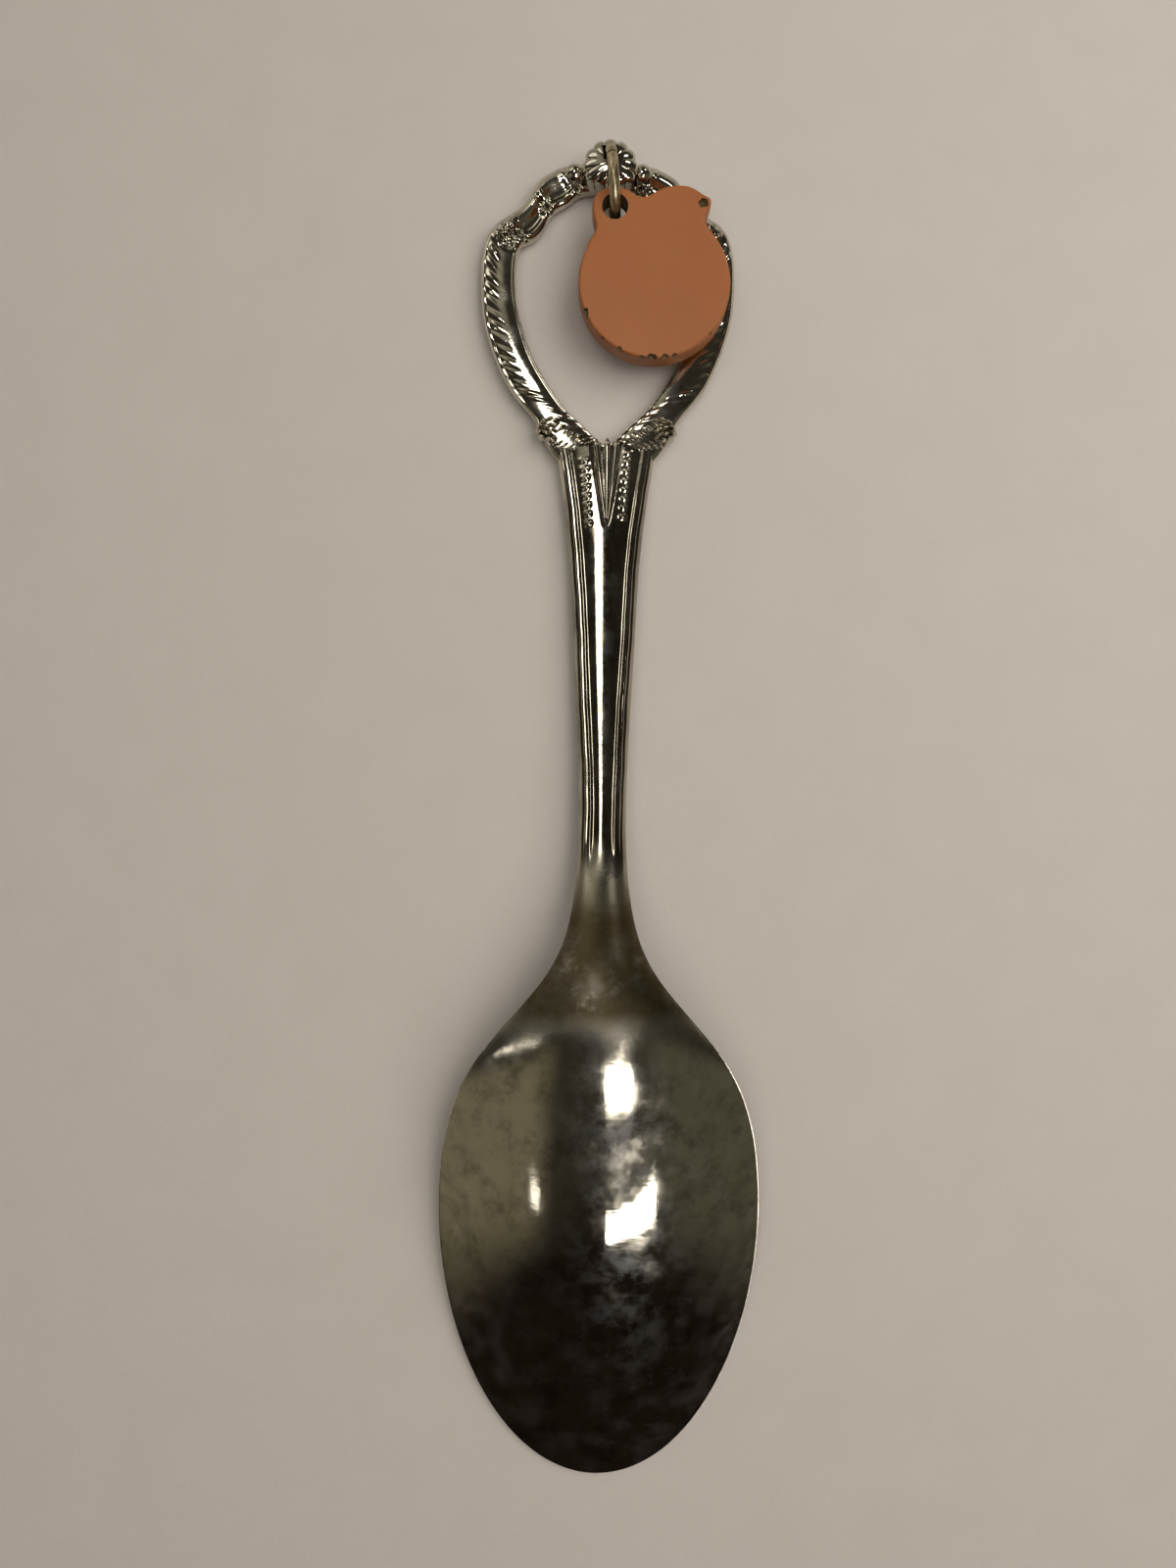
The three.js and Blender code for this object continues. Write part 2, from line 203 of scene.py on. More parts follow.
# From the disc's shoulder round the stalk, the leaf and the eyelet's tab, as the charm lies.
CHARM_TOP_EDGE = (
    (7.98, 50.0), (8.4, 50.75), (8.62, 51.4), (8.5, 51.8), (8.1, 51.95), (7.7, 52.2), (7.2, 52.55),
    (6.5, 52.8), (5.6, 52.82), (4.7, 52.65), (4.0, 52.35), (3.4, 51.95), (2.8, 51.8), (2.3, 51.9),
    (1.85, 52.3), (1.2, 52.55), (0.4, 52.62), (-0.4, 52.5), (-1.0, 52.15), (-1.33, 51.55),
    (-1.4, 50.8), (-1.25, 50.0), (-1.05, 49.3), (-1.2, 48.75), (-1.6, 48.2),
)
STALK_DIMPLE = dict(x=7.9, y=51.35, z=CHARM_TOP + 0.1, size=0.42, seed=9)
# Paint chips on the disc's upper edge: angle in degrees, and size.
CHIP_HEIGHT = CHARM_TOP - 0.12
CHIP_REACH = DISC_RADIUS + 0.02
CHIP_RAGGEDNESS = 0.45
CHARM_CHIPS = (
    (205, 0.42), (228, 0.2), (243, 0.26), (261, 0.22), (268, 0.44), (278, 0.3), (286, 0.2),
    (318, 0.16),
)


# ------------------------------------------------------------------- helpers

def smoothstep(value, low, high):
    t = np.clip((np.asarray(value, float) - low) / (high - low), 0, 1)
    return t * t * (3 - 2 * t)


def ridge(offset, width):
    """A rounded ridge of height 1 across offset 0."""
    return np.exp(-0.5 * (np.asarray(offset) / width) ** 2)


def spline(points, start_slope=None):
    """The smooth (C2) curve through (x, y) points, as a function of x."""
    x, y = np.array(points, float).T
    h, rise, n = np.diff(x), np.diff(y) / np.diff(x), len(x)
    a, b = np.eye(n), np.zeros(n)
    for i in range(1, n - 1):
        a[i, i - 1 : i + 2] = h[i - 1], 2 * (h[i - 1] + h[i]), h[i]
        b[i] = 3 * (rise[i] - rise[i - 1])
    if start_slope is not None:
        a[0, :2], b[0] = (2 * h[0], h[0]), 3 * (rise[0] - start_slope)
    c = np.linalg.solve(a, b)
    slope = rise - h * (2 * c[:-1] + c[1:]) / 3
    d = np.diff(c) / (3 * h)

    def value(at):
        i = np.clip(np.searchsorted(x, at) - 1, 0, n - 2)
        t = at - x[i]
        return y[i] + t * (slope[i] + t * (c[i] + t * d[i]))

    return value


def arc(centre, radius, start, end, steps):
    """Points on an arc, with its angles in degrees."""
    angles = np.radians(np.linspace(start, end, steps))
    return np.column_stack([
        centre[0] + radius * np.cos(angles), centre[1] + radius * np.sin(angles),
    ])


def mesh_object(name, points, faces):
    """A closed, welded mesh object from points in millimetres."""
    mesh = bpy.data.meshes.new(name)
    mesh.from_pydata((np.asarray(points) * MM).tolist(), [], faces)
    bm = bmesh.new()
    bm.from_mesh(mesh)
    bmesh.ops.remove_doubles(bm, verts=bm.verts, dist=WELD)
    bmesh.ops.dissolve_degenerate(bm, edges=bm.edges, dist=WELD)
    bmesh.ops.recalc_face_normals(bm, faces=bm.faces)
    bm.to_mesh(mesh)
    bm.free()
    made = bpy.data.objects.new(name, mesh)
    bpy.context.scene.collection.objects.link(made)
    return made


def ring_faces(count, size, periodic=False):
    """Faces between neighbouring rings of points, and from the last to the first if periodic."""
    return [
        (i * size + j, i * size + (j + 1) % size,
         (i + 1) % count * size + (j + 1) % size, (i + 1) % count * size + j)
        for i in range(count if periodic else count - 1)
        for j in range(size)
    ]


def skin(name, rings, periodic=False, cap_start=False, cap_end=False):
    """A mesh over closed rings of points, each ring joined to the next."""
    rings = np.asarray(rings)
    count, size = rings.shape[:2]
    faces = ring_faces(count, size, periodic)
    points = rings.reshape(-1, 3)
    for wanted, first in ((cap_start, 0), (cap_end, (count - 1) * size)):
        if wanted:
            points = np.vstack([points, points[first : first + size].mean(0)])
            faces += [(first + j, first + (j + 1) % size, len(points) - 1) for j in range(size)]
    return mesh_object(name, points, faces)


def revolved(name, section, steps=64, ribs=None):
    """A closed mesh from a (radius, z) section turned about Z. ribs(angle) scales the radius."""
    angles = np.linspace(0, 2 * np.pi, steps, endpoint=False)
    scale = np.ones(steps) if ribs is None else ribs(angles)
    section = np.asarray(section, float)
    radius = section[:, 0][None, :] * scale[:, None]
    rings = np.stack(
        [radius * np.cos(angles)[:, None], radius * np.sin(angles)[:, None],
         np.broadcast_to(section[:, 1], radius.shape)],
        axis=2,
    )
    count, size = rings.shape[:2]
    faces = [
        (i * size + j, (i + 1) % count * size + j,
         (i + 1) % count * size + j + 1, i * size + j + 1)
        for i in range(count)
        for j in range(size - 1)
    ]
    return mesh_object(name, rings.reshape(-1, 3), faces)


def shift(piece, x=0.0, y=0.0, z=0.0, turn=0.0):
    """Turns a mesh about Z, then moves it, in millimetres, with its object left at the origin."""
    c, s = math.cos(turn), math.sin(turn)
    for v in piece.data.vertices:
        px, py, pz = v.co
        v.co = (px * c - py * s + x * MM, px * s + py * c + y * MM, pz + z * MM)
    return piece


def combine(base, tools, operation):
    """Joins the tools to the base, or cuts them from it, and removes them."""
    for tool in tools:
        modifier = base.modifiers.new(operation, "BOOLEAN")
        modifier.operation = operation
        modifier.solver = "MANIFOLD"
        modifier.object = tool
    graph = bpy.context.evaluated_depsgraph_get()
    mesh = bpy.data.meshes.new_from_object(base.evaluated_get(graph))
    base.modifiers.clear()
    base.data = mesh
    for tool in tools:
        bpy.data.objects.remove(tool)
    return base


def smooth(piece, crease_degrees):
    """Smooth shading, except across edges that turn more sharply than that."""
    piece.data.shade_smooth()
    piece.data.set_sharp_from_angle(angle=math.radians(crease_degrees))
    return piece


# --------------------------------------------------------- bowl, neck and stem

half_width = spline(HALF_WIDTHS, start_slope=0)
underside = spline(UNDERSIDE_HEIGHTS)
crest_line = spline(CREST_LINE, start_slope=CREST_START_SLOPE)
crown_power = spline(CROWN_POWERS, start_slope=0)
edge_height = spline(EDGE_HEIGHTS, start_slope=0)


def stem_relief(x, y, width):
    """Height that the handle's ornament adds at x, for a handle of that half-width."""
    shown = float(smoothstep(y, *RELIEF_FROM))
    wander = 0.03 * math.sin(0.5 * y) + 0.012 * math.sin(1.7 * y + 1)
    height = -FLUTE_DEPTH * shown * ridge(np.abs(x) - (width - FLUTE_INSET), FLUTE_WIDTH)
    for depth, sigma, tall in THREADS:
        for side in (-1, 1):
            middle = width - depth + side * wander
            height = height + shown * tall * ridge(side * x - middle, sigma)
    return height + tongue_relief(x, y) + bead_relief(x, y)


def tongue_relief(x, y):
    """The sunk bed that the tongue's ridges lie in."""
    t = (y - TONGUE_TIP_Y) / (STEM_END_Y - TONGUE_TIP_Y)
    if t <= 0:
        return np.zeros_like(x)
    fade = float(smoothstep(t, 0, 0.15))
    reach = TONGUE_BED_SPREAD * t + TONGUE_BED_EDGE - np.abs(x - TONGUE_TIP_X * t)
    return -TONGUE_BED_DEPTH * fade * smoothstep(reach, 0, TONGUE_BED_EDGE)


def tongue_ridges():
    """Three round ridges that run together at a pointed tip below the loop."""
    made = []
    for i, top_x in enumerate(TONGUE_TOP_X):
        rings = []
        for t in np.linspace(0, 1, 40):
            y = TONGUE_TIP_Y + t * (TONGUE_END_Y - TONGUE_TIP_Y)
            x = TONGUE_TIP_X + (top_x - TONGUE_TIP_X) * t ** 0.85
            size = TONGUE_RIDGE * (0.35 + 0.65 * t) * min(1.0, 8 * t + 0.15, 12 * (1 - t) + 0.3)
            z = float(crest_line(min(y, STEM_END_Y))) + 0.04 - 0.25 * abs(x) * t
            around = np.radians(np.linspace(0, 360, 20, endpoint=False))
            rings.append(np.column_stack([
                x + size * np.cos(around),
                np.full_like(around, y),
                z + 1.15 * size * np.sin(around),
            ]))
        made.append(skin(f"tongue_{i}", rings, cap_start=True, cap_end=True))
    return made


def bead_relief(x, y):
    """Two short columns of beads beside the tongue."""
    height = np.zeros_like(x)
    for side in (-1, 1):
        phase = (y - BEADS_Y[0] - BEAD_STAGGER * side) / BEAD_PITCH
        if -0.5 < phase < (BEADS_Y[1] - BEADS_Y[0]) / BEAD_PITCH + 0.5:
            near = (phase - round(phase)) * BEAD_PITCH
            column = BEAD_X + BEAD_SPREAD * (y - BEADS_Y[0])
            bead = ridge(side * x - column, BEAD_WIDTH) * ridge(near, BEAD_LENGTH)
            height = height + BEAD_HEIGHT * bead
    return height


def spoon_ring(y, width, normal, crown, edge, power):
    """A cross-section's closed ring: over the crown, round an edge, underneath, round the other.

    normal points out of the edge in plan; crown and edge are heights above the underside.
    """
    hollow = float(smoothstep(y, HOLLOW_START_Y, HOLLOW_FULL_Y)) if y > HOLLOW_FULL_Y else 1.0
    low = max(float(underside(y)), 0.0)
    a = np.radians(np.linspace(-90, 90, OUTER_COLUMNS))
    outer_x = width * np.sin(a)
    rounding = np.sqrt((1 - np.abs(np.sin(a)) ** RIM_ROUNDING).clip(0))
    swell = np.cos(a).clip(0) ** (2 * power) * rounding
    outer_z = low + edge + (crown - edge) * swell
    if y > RELIEF_FROM[0]:
        outer_z = outer_z + stem_relief(outer_x, y, width)
    outer = np.column_stack([outer_x, np.full_like(a, y), outer_z])

    sweep = np.radians(np.linspace(0, 90 + 90 * hollow, EDGE_COLUMNS))
    inset = RIM_RADIUS * (1 - np.cos(sweep))
    rim_z = low + RIM_RADIUS * (1 - np.sin(sweep))
    right = np.column_stack([width - inset * normal[0], y - inset * normal[1], rim_z])
    left = right[::-1] * (-1, 1, 1)

    c = np.radians(np.linspace(90, -90, INNER_COLUMNS))[1:-1]
    depth = hollow * max(crown - BOWL_WALL - RIM_RADIUS, 0) if width > 0 else 0
    inner = np.column_stack([
        right[-1, 0] * np.sin(c),
        np.full_like(c, right[-1, 1]),
        right[-1, 2] + depth * np.cos(c) ** (2 * power),
    ])
    return np.vstack([outer, right, inner, left])


def bowl_rings():
    """From the tip to the bowl's widest place, half an ellipsoid."""
    length = BOWL_MID_Y - TIP_Y
    for angle in np.radians(np.linspace(90, 0, BOWL_STATIONS)[:-1]):
        y = BOWL_MID_Y - length * math.sin(angle)
        across, ahead = math.cos(angle) / BOWL_HALF_WIDTH, -math.sin(angle) / length
        size = math.hypot(across, ahead)
        swell = max(math.cos(angle), 0.0) ** (2 * BOWL_POWER)
        crown = RIM_RADIUS + (BOWL_CROWN - RIM_RADIUS) * swell
        width = BOWL_HALF_WIDTH * max(math.cos(angle), 0.0)
        yield spoon_ring(y, width, (across / size, ahead / size), crown, RIM_RADIUS, BOWL_POWER)


def handle_rings():
    """From the bowl's widest place up the neck and stem to the loop."""
    ends = [start for start, _ in STATION_SPACING[1:]] + [STEM_END_Y]
    stretches = [
        np.arange(start, end, spacing)
        for (start, spacing), end in zip(STATION_SPACING, ends)
    ]
    for y in np.concatenate([*stretches, [STEM_END_Y]]):
        ahead, behind = half_width(y + SLOPE_STEP), half_width(y - SLOPE_STEP)
        slope = float(ahead - behind) / (2 * SLOPE_STEP)
        size = math.hypot(1, slope)
        crown = float(crest_line(y) - underside(y))
        yield spoon_ring(
            y, float(half_width(y)), (1 / size, -slope / size), crown,
            float(edge_height(y)), float(crown_power(y)),
        )


# ---------------------------------------------------------------- handle loop

def smooth_path(points, samples):
    """Points along a closed smooth curve, given for its right half from top to foot."""
    right = np.asarray(points, float)
    loop = np.vstack([right, right[-2:0:-1] * (-1, 1)])
    n = len(loop)
    fine = []
    for i in range(n):
        p0, p1, p2, p3 = (loop[(i + k) % n] for k in (-1, 0, 1, 2))
        t = np.linspace(0, 1, CURVE_STEPS, endpoint=False)[:, None]
        fine.append(0.5 * (
            2 * p1 + (p2 - p0) * t + (2 * p0 - 5 * p1 + 4 * p2 - p3) * t**2
            + (3 * p1 - p0 - 3 * p2 + p3) * t**3
        ))
    fine = np.vstack(fine)
    where = np.linspace(0, len(fine), samples, endpoint=False)
    wrapped = np.vstack([fine, fine[:1]])
    counted = np.arange(len(wrapped))
    return np.column_stack([np.interp(where, counted, wrapped[:, k]) for k in (0, 1)])


def evenly(outer, inner, samples):
    """The same pairs of edge points, spaced evenly along the line midway between them."""
    middle = (outer + inner) / 2
    step = np.linalg.norm(np.roll(middle, -1, 0) - middle, axis=1)
    run = np.concatenate([[0], np.cumsum(step)])
    where = np.linspace(0, run[-1], samples, endpoint=False)
    both = np.hstack([outer, inner])
    wrapped = np.vstack([both, both[:1]])
    spaced = np.column_stack([np.interp(where, run, wrapped[:, k]) for k in range(4)])
    return spaced[:, :2], spaced[:, 2:], where, run[-1]


def gadroons(run, across, centre, sigma, slant, pitch=ROPE_PITCH):
    """A rope of slanting bumps along the loop, with its middle at a distance from the inner edge."""
    phase = 2 * np.pi * (run + slant * (across - centre)) / pitch
    bump = (0.5 + 0.5 * np.cos(phase)) ** 0.8
    return ridge(across - centre, sigma) * bump


def loop_relief(run, across, width):
    """Height of the ornament at run along the loop from the crest, across from its inner edge."""
    upper = 1 - float(smoothstep(run, SCALLOP_END - 0.7, SCALLOP_END + 0.5))
    return upper * scallop_relief(run, across, width) + (1 - upper) * side_relief(run, across, width)


def side_relief(run, across, width):
    """The sides: a smooth inner band, a thin line on each edge, and scrolls that slant between them."""
    foot = float(smoothstep(run, *FOOT_FROM))
    side = 1 - foot
    slope = SIDE_SLOPE * side * (0.5 - across / width)
    lines = 0.2 * ridge(across - 0.16, 0.1) + 0.14 * side * ridge(width - across - 0.22, 0.1)
    centre = 0.72 * width * side + 0.72 * foot
    swell = 0.72 + 0.28 * math.cos(2 * math.pi * run / (3 * ROPE_PITCH))
    low = 1 - 0.55 * float(smoothstep(run, *ROPE_WEAKENS))
    rope = gadroons(run, across, centre, ROPE_WIDTH, ROPE_SLANT)
    scrolls = ROPE_HEIGHT * low * swell * rope
    return slope + lines + scrolls


def scallop_relief(run, across, width):
    """The top bars: dished lobes, parted by creases, between a broad outer rim and a thin inner one."""
    outer_rim = SCALLOP_RIM * ridge(width - across - 0.85, 0.4)
    dish = -SCALLOP_DISH * ridge(across - 0.38 * width, 0.2 * width)
    inner_rim = 0.2 * ridge(across - 0.36, 0.2)
    height = outer_rim + dish + inner_rim
    for at in SCALLOP_CREASES:
        lean = run - at - 0.3 * (across - 0.5 * width)
        height = height - CREASE_DEPTH * ridge(lean, 0.13) * ridge(across, 0.5 * width)
        lips = ridge(lean - 0.42, 0.2) + ridge(lean + 0.42, 0.2)
        height = height + CREASE_LIP * lips * ridge(across - 0.3 * width, 0.3 * width)
    corner = 0.34 * float(ridge(run - SCALLOP_END + 0.9, 0.75))
    return height + corner * gadroons(run, across, 0.55 * width, 0.6, 0.9, CORNER_PITCH)


def loop_ring(outer, inner, run):
    """One closed ring round the loop's bar, between an outer and an inner edge point."""
    width = float(np.linalg.norm(outer - inner))
    a = np.radians(np.linspace(-90, 90, LOOP_COLUMNS))
    t = np.sin(a)
    across = (t + 1) / 2 * width
    top = LOOP_MIDDLE + (LOOP_TOP - LOOP_MIDDLE) * np.cos(a).clip(0) ** 0.7
    relief = loop_relief(run, across, width) * np.cos(a).clip(0) ** 0.5
    top = np.minimum(top + relief, LOOP_CEILING)
    b = np.radians(np.linspace(90, -90, LOOP_UNDERSIDE_COLUMNS))[1:-1]
    back_across = (np.sin(b) + 1) / 2 * width
    below = LOOP_MIDDLE - LOOP_MIDDLE * np.cos(b) ** 0.4
    groove = LOOP_FRONT_GROOVE * (1 - loop_front(run, back_across, width))
    below = below + groove * np.cos(b) ** 0.5
    heights = np.concatenate([top, below])
    share = np.concatenate([across, back_across])[:, None] / width
    place = inner + (outer - inner) * share
    return np.column_stack([place, heights])


def loop_front(run, across, width):
    """The ornament on the loop's lower face: 1 where it touches the table, less in its grooves."""
    rope = gadroons(run, across, 0.6 * width, 0.5, -0.75)
    border = ridge(across - 0.5, 0.3)
    return np.clip(np.maximum(rope, border), 0, 1)


def loop_bar():
    """The whole loop: a bar whose section follows the stations round both sides."""
    outer = smooth_path([pair[0] for pair in LOOP_STATIONS], PATH_SAMPLES)
    inner = smooth_path([pair[1] for pair in LOOP_STATIONS], PATH_SAMPLES)
    outer, inner, runs, total = evenly(outer, inner, 2 * LOOP_SAMPLES)
    rings = [
        loop_ring(o, i, min(run, total - run))
        for o, i, run in zip(outer, inner, runs)
    ]
    return skin("loop_bar", rings, periodic=True)


# ------------------------------------------------- crest, scroll balls and ears

def knob_section(radius, bottom, top, steps=22):
    """A (radius, z) section: a foot that swells to the full radius, under a low dome."""
    belly = bottom + KNOB_BELLY * (top - bottom)
    lower = [
        (radius * (KNOB_FOOT + KNOB_SWELL * math.sin(a)),
         bottom + (belly - bottom) * (1 - math.cos(a)))
        for a in np.radians(np.linspace(0, 90, 9))
    ]
    upper = [
        (radius * math.cos(a), belly + (top - belly) * math.sin(a))
        for a in np.radians(np.linspace(0, 90, steps))[1:-1]
    ]
    return [(0, bottom), *lower, *upper, (0, top)]


def crest():
    """A domed knob with lobes, like a small shell."""
    section = knob_section(CREST["radius"], CREST["bottom"], CREST["top"])
    return shift(revolved("crest", section, 216, crest_lobes), CREST["x"], CREST["y"])


def crest_lobes(angle):
    """Lobes round the knob, drawn in on the charm's side so that the charm clears it."""
    lobe = np.abs(np.cos(CREST_LOBES / 2 * (angle - math.pi / 2))) ** 0.6
    fan = (1 - CREST_LOBE_DEPTH) + CREST_LOBE_DEPTH * lobe
    return fan * (1 - CREST_DRAWN_IN * smoothstep(-np.sin(angle), 0.5, 0.95))


def ball(name, x, y, z, radius, height, turn=0.0, stretch=1.0):
    """A rounded bump: an ellipsoid whose half-height is height."""
    angles = np.radians(np.linspace(-90, 90, 15))
    section = [(radius * math.cos(a), height * math.sin(a)) for a in angles]
    section[0], section[-1] = (0, -height), (0, height)
    bump = revolved(name, section, 28)
    for v in bump.data.vertices:
        v.co.x *= stretch
    return shift(bump, x, y, z, turn)


# Each ear's bumps: offset from its middle (x away from the spoon's middle line), and size.
EAR_BUMPS = (
    (-0.7, 0.8, 0.36), (-0.2, 0.95, 0.4), (0.3, 0.75, 0.42), (0.62, 0.35, 0.4), (0.7, -0.15, 0.4),
    (0.5, -0.6, 0.38), (0.1, 0.25, 0.4), (-0.35, 0.4, 0.38), (0.15, -0.3, 0.4), (-0.1, -0.8, 0.36),
    (-0.62, -0.05, 0.38), (-0.6, -0.6, 0.34), (-0.25, -0.3, 0.36),
)
# Two rows of strokes at the loop's foot: name, first x and y, steps in x and y, height of
# the middle, half-length, half-height, first turn and its step in degrees, and slimness.
FOOT_BUMPS = 8
FOOT_ROWS = (
    ("foot", 0.95, 31.75, 0.48, 0.26, 1.3, 0.6, 0.86, 72, 4, 0.32),
    ("edge", 1.3, 31.0, 0.46, 0.16, 1.25, 0.62, 0.84, 80, 5, 0.3),
)


def crest_ornaments():
    """Scroll balls beside the crest, leafy ears low on the loop, and strokes between them."""
    made = []
    for side in (-1, 1):
        b = SCROLL_BALL
        made.append(ball("scroll", side * b["x"], b["y"], b["z"], b["radius"], b["height"]))
        for i, (dx, dy, size) in enumerate(EAR_BUMPS):
            place = (side * (EAR["x"] + dx), EAR["y"] + dy, EAR["z"])
            turn = side * math.radians(62 + 7 * i)
            made.append(ball(f"ear_{i}", *place, size, 0.95, turn, 0.62))
        for i in range(FOOT_BUMPS):
            for name, x, y, dx, dy, z, length, height, turn, turn_step, slim in FOOT_ROWS:
                place = (side * (x + dx * i), y + dy * i, z)
                lean = side * math.radians(turn - turn_step * i)
                made.append(ball(f"{name}_{i}", *place, length, height, lean, slim))
    return made


def ring_groove():
    """The slot that the jump ring sweeps through the crest."""
    inner = RING_RADIUS - WIRE_RADIUS - GROOVE_GAP
    outer = RING_RADIUS + WIRE_RADIUS + GROOVE_GAP
    corners = ((inner, -1), (outer, -1), (outer, 1), (inner, 1))
    rings = []
    for angle in np.linspace(0, 2 * np.pi, 72, endpoint=False):
        rings.append([
            ring_frame(radius * math.cos(angle), side * GROOVE_HALF_WIDTH, radius * math.sin(angle))
            for radius, side in corners
        ])
    return skin("groove", rings, periodic=True)


def ring_frame(ahead, aside, up):
    """A point given along the ring's plane, along its axis, and upwards, in the spoon's frame."""
    c, s = math.cos(RING_LEAN), math.sin(RING_LEAN)
    x, y, z = RING_CENTRE
    return (x - s * ahead + c * aside, y + c * ahead + s * aside, z + up)


def build_spoon():
    """The spoon's plate with its loop, crest and ornament joined on, and the ring's slot cut."""
    body = skin("spoon_plate", list(bowl_rings()) + list(handle_rings()), cap_end=True)
    combine(body, [loop_bar(), crest(), *tongue_ridges(), *crest_ornaments()], "UNION")
    combine(body, [ring_groove()], "DIFFERENCE")
    return smooth(body, 42)


# ----------------------------------------------------------------- jump ring

def build_ring():
    """A wire bent round until its cut ends nearly meet."""
    rings = []
    wire = arc((0, 0), WIRE_RADIUS, 0, 360, WIRE_SIDES + 1)[:-1]
    start, end = RING_JOIN + RING_GAP, RING_JOIN + 2 * np.pi - RING_GAP
    for angle in np.linspace(start, end, RING_STEPS):
        c, s = math.cos(angle), math.sin(angle)
        rings.append([ring_frame((RING_RADIUS + u) * c, v, (RING_RADIUS + u) * s) for u, v in wire])
    points = np.array(rings).reshape(-1, 3)
    faces = ring_faces(RING_STEPS, WIRE_SIDES)
    faces += [list(range(WIRE_SIDES)), list(range(len(points) - WIRE_SIDES, len(points)))]
    return smooth(mesh_object("ring_wire", points, faces), 50)


# --------------------------------------------------------------------- charm

def disc_centre():
    """The disc's middle, hung from the eyelet at the angle that the charm has swung to."""
    return (
        EYELET[0] + CHARM_REACH * math.sin(CHARM_SWING),
        EYELET[1] - CHARM_REACH * math.cos(CHARM_SWING),
    )


def charm_outline():
    """The charm's outline as it lies, counter-clockwise: disc, stalk, leaf and eyelet."""
    points = np.vstack([arc(disc_centre(), DISC_RADIUS, *DISC_ARC, 150), CHARM_TOP_EDGE])
    return soften(points, CHARM_CORNER)


def soften(points, reach):
    """Rounds a closed outline's corners: even points, each averaged with its neighbours."""
    step = np.linalg.norm(np.roll(points, -1, 0) - points, axis=1)
    run = np.concatenate([[0], np.cumsum(step)])
    count = int(run[-1] / OUTLINE_STEP)
    where = np.linspace(0, run[-1], count, endpoint=False)
    wrapped = np.vstack([points, points[:1]])
    even = np.column_stack([np.interp(where, run, wrapped[:, k]) for k in (0, 1)])
    steps = int(round(3 * reach / OUTLINE_STEP))
    offsets = range(-steps, steps + 1)
    weights = ridge(np.array(offsets) * OUTLINE_STEP, reach)
    return sum(w * np.roll(even, k, 0) for k, w in zip(offsets, weights)) / weights.sum()


def plate_from(name, outline, bottom, top, edge):
    """A flat plate with rounded edges, from a closed outline."""
    curve = bpy.data.curves.new(name, "CURVE")
    curve.dimensions = "2D"
    curve.fill_mode = "BOTH"
    path = curve.splines.new("POLY")
    path.points.add(len(outline) - 1)
    for point, (x, y) in zip(path.points, outline):
        point.co = (x * MM, y * MM, 0, 1)
    path.use_cyclic_u = True
    curve.extrude = ((top - bottom) / 2 - edge) * MM
    curve.bevel_depth = edge * MM
    curve.bevel_resolution = 4
    curve.offset = -edge * MM
    source = bpy.data.objects.new(name + "_curve", curve)
    bpy.context.scene.collection.objects.link(source)
    graph = bpy.context.evaluated_depsgraph_get()
    mesh = bpy.data.meshes.new_from_object(source.evaluated_get(graph))
    bpy.data.objects.remove(source)
    points = np.array([v.co for v in mesh.vertices]) / MM + (0, 0, (bottom + top) / 2)
    return mesh_object(name, points, [tuple(p.vertices) for p in mesh.polygons])


def evenly_meshed(piece, size):
    """Gives a piece an even mesh of that size, so that its finish can follow its edges."""
    modifier = piece.modifiers.new("even", "REMESH")
    modifier.mode = "VOXEL"
    modifier.voxel_size = size * MM
    graph = bpy.context.evaluated_depsgraph_get()
    mesh = bpy.data.meshes.new_from_object(piece.evaluated_get(graph))
    piece.modifiers.clear()
    piece.data = mesh
    return piece


def chip(name, x, y, z, size, seed):
    """A small ragged lump, which cuts a chip out of the charm's painted edge."""
    lump = ball(name, 0, 0, 0, size, size * 0.9)
    for v in lump.data.vertices:
        v.co *= 1 + CHIP_RAGGEDNESS * noise.noise(v.co * 2600 + Vector((seed, 0, 0)))
    return shift(lump, x, y, z)


def build_charm(paint, bare):
    """The painted charm: rounded plate, domed front, chipped edge, eyelet hole and dimple."""
    charm = plate_from("charm_body", charm_outline(), CHARM_BOTTOM, CHARM_TOP, CHARM_EDGE)
    cx, cy = disc_centre()
    radius, depth, root = FRONT_DOME["radius"], FRONT_DOME["depth"], FRONT_DOME["root"]
    front = [(0, CHARM_BOTTOM - depth)]
    front += [
        (r, CHARM_BOTTOM - depth * (1 - (r / radius) ** 2))
        for r in np.linspace(0.6, radius, 12)
    ]
    front += [(radius, CHARM_BOTTOM + root), (0, CHARM_BOTTOM + root)]
    combine(charm, [shift(revolved("front", front, 72), cx, cy)], "UNION")
    evenly_meshed(charm, CHARM_MESH)
    charm.data.materials.clear()
    charm.data.materials.append(paint)
    charm.data.materials.append(bare)
    chips = []
    for i, (angle, size) in enumerate(CHARM_CHIPS):
        a = math.radians(angle)
        x, y = cx + CHIP_REACH * math.cos(a), cy + CHIP_REACH * math.sin(a)
        chips.append(chip(f"chip_{i}", x, y, CHIP_HEIGHT, size, i))
    low, high = CHARM_BOTTOM - 1, CHARM_TOP + 1
    wall = [(0, low), (EYELET_HOLE, low), (EYELET_HOLE, high), (0, high)]
    chips.append(shift(revolved("hole", wall, 48), *EYELET))
    chips.append(chip("dimple", **STALK_DIMPLE))
    for lump in chips:
        lump.data.materials.append(bare)
    combine(charm, chips, "DIFFERENCE")
    return smooth(charm, 38)


# ------------------------------------------------------------------ materials

